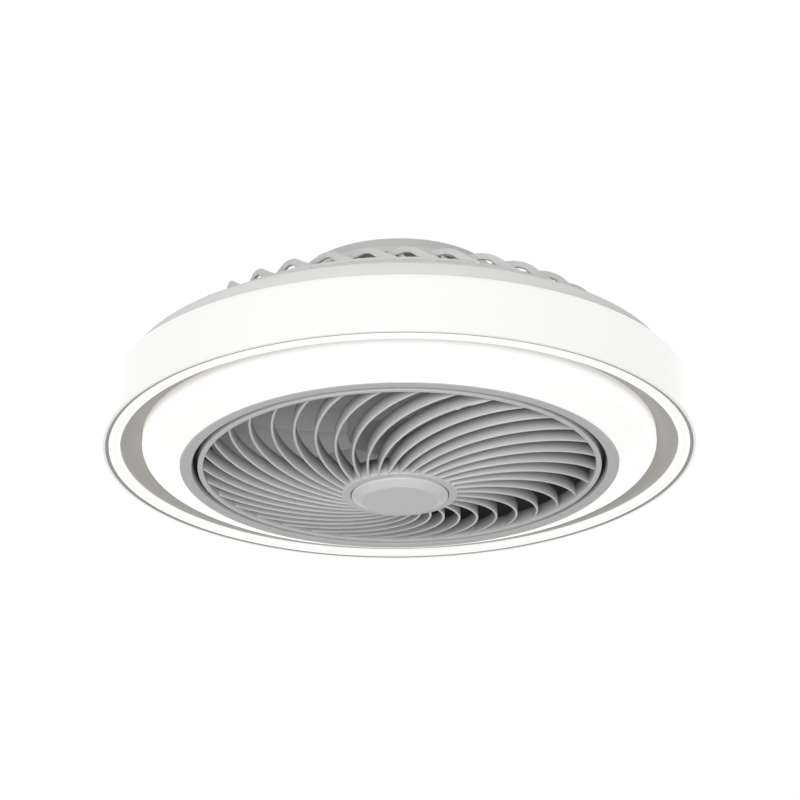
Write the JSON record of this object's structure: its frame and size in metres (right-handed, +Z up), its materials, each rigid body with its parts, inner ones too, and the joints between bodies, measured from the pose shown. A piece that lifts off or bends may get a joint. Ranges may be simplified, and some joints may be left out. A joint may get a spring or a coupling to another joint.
{
  "type": "flush mount ceiling fan",
  "caption": "Round flush mount ceiling fan with a glowing white shade ring, a spiral outlet grille, an enclosed impeller and a ribbed air intake under its ceiling canopy.",
  "frame": {"origin": "centre of the ceiling plane, between the two fixing holes of the ceiling bracket", "axes": "+Z up into the ceiling along the spin axis, +X along the ceiling bracket, -Y towards the side that the picture shows"},
  "size_m": [0.5, 0.5, 0.203],
  "materials": {
    "zinc_steel": "zinc plated",
    "canopy_paint": "satin light grey paint",
    "black_rubber": "matt black rubber and foam",
    "cage_plastic": "satin light grey moulding",
    "pan_paint": "satin light grey paint",
    "opal_acrylic": "opal white acrylic",
    "trim_grey": "satin grey",
    "groove_grey": "warm grey",
    "bezel_plastic": "satin grey moulding",
    "grille_plastic": "satin grey moulding",
    "duct_plastic": "dark grey moulding",
    "motor_steel": "black stoved paint",
    "spindle_aluminium": "die cast",
    "bearing_steel": "ground steel",
    "core_steel": "laminated steel",
    "copper_wire": "enamelled copper",
    "green_board": "solder mask",
    "magnet_grey": "ferrite",
    "impeller_plastic": "satin grey moulding",
    "white_board": "white solder mask on aluminium",
    "led_yellow": "phosphor",
    "supply_plastic": "white moulding"
  },
  "bodies": {
    "housing": {"bezel_ring": "bezel_plastic", "bezel_screws": "zinc_steel", "cage_screws": "zinc_steel", "canopy": "canopy_paint", "canopy_screws": "zinc_steel", "ceiling_bracket": "zinc_steel", "chassis_pan": "pan_paint", "duct_screws": "zinc_steel", "duct_seal": "black_rubber", "duct_shroud": "duct_plastic", "fan_controller": "supply_plastic", "groove_ring": "groove_grey", "groove_screws": "zinc_steel", "hub_screws": "zinc_steel", "inner_shade": "opal_acrylic", "intake_cage": "cage_plastic", "lamp_tray": "pan_paint", "led_board_inner": "white_board", "led_board_outer": "white_board", "led_chips_inner": "led_yellow", "led_chips_outer": "led_yellow", "led_driver": "supply_plastic", "lip_ring": "opal_acrylic", "lower_bearing": "bearing_steel", "motor_housing": "motor_steel", "outer_shade": "opal_acrylic", "pan_screws": "zinc_steel", "spindle_screws": "zinc_steel", "stator_board": "green_board", "stator_core": "core_steel", "stator_spindle": "spindle_aluminium", "stator_windings": "copper_wire", "supply_screws": "zinc_steel", "terminal_block": "supply_plastic", "trim_ring": "trim_grey", "upper_bearing": "bearing_steel", "wire_grommet": "black_rubber"},
    "rotor": {"rotor_bell": "motor_steel", "rotor_magnets": "magnet_grey", "motor_shaft": "bearing_steel", "shaft_clip": "zinc_steel", "impeller": "impeller_plastic", "impeller_screws": "zinc_steel", "impeller_nut": "zinc_steel"},
    "grille_body": {"grille": "grille_plastic", "grille_cap": "grille_plastic"}
  },
  "joints": [
    {"name": "fan_spin", "type": "hinge", "parent": "housing", "child": "rotor", "pos_m": [0, 0, -0.126], "axis": [0, 0, 1], "continuous": true},
    {"name": "grille_twist", "type": "hinge", "parent": "housing", "child": "grille_body", "pos_m": [0, 0, -0.17], "axis": [0, 0, 1], "range_deg": [0, 14]}
  ]
}
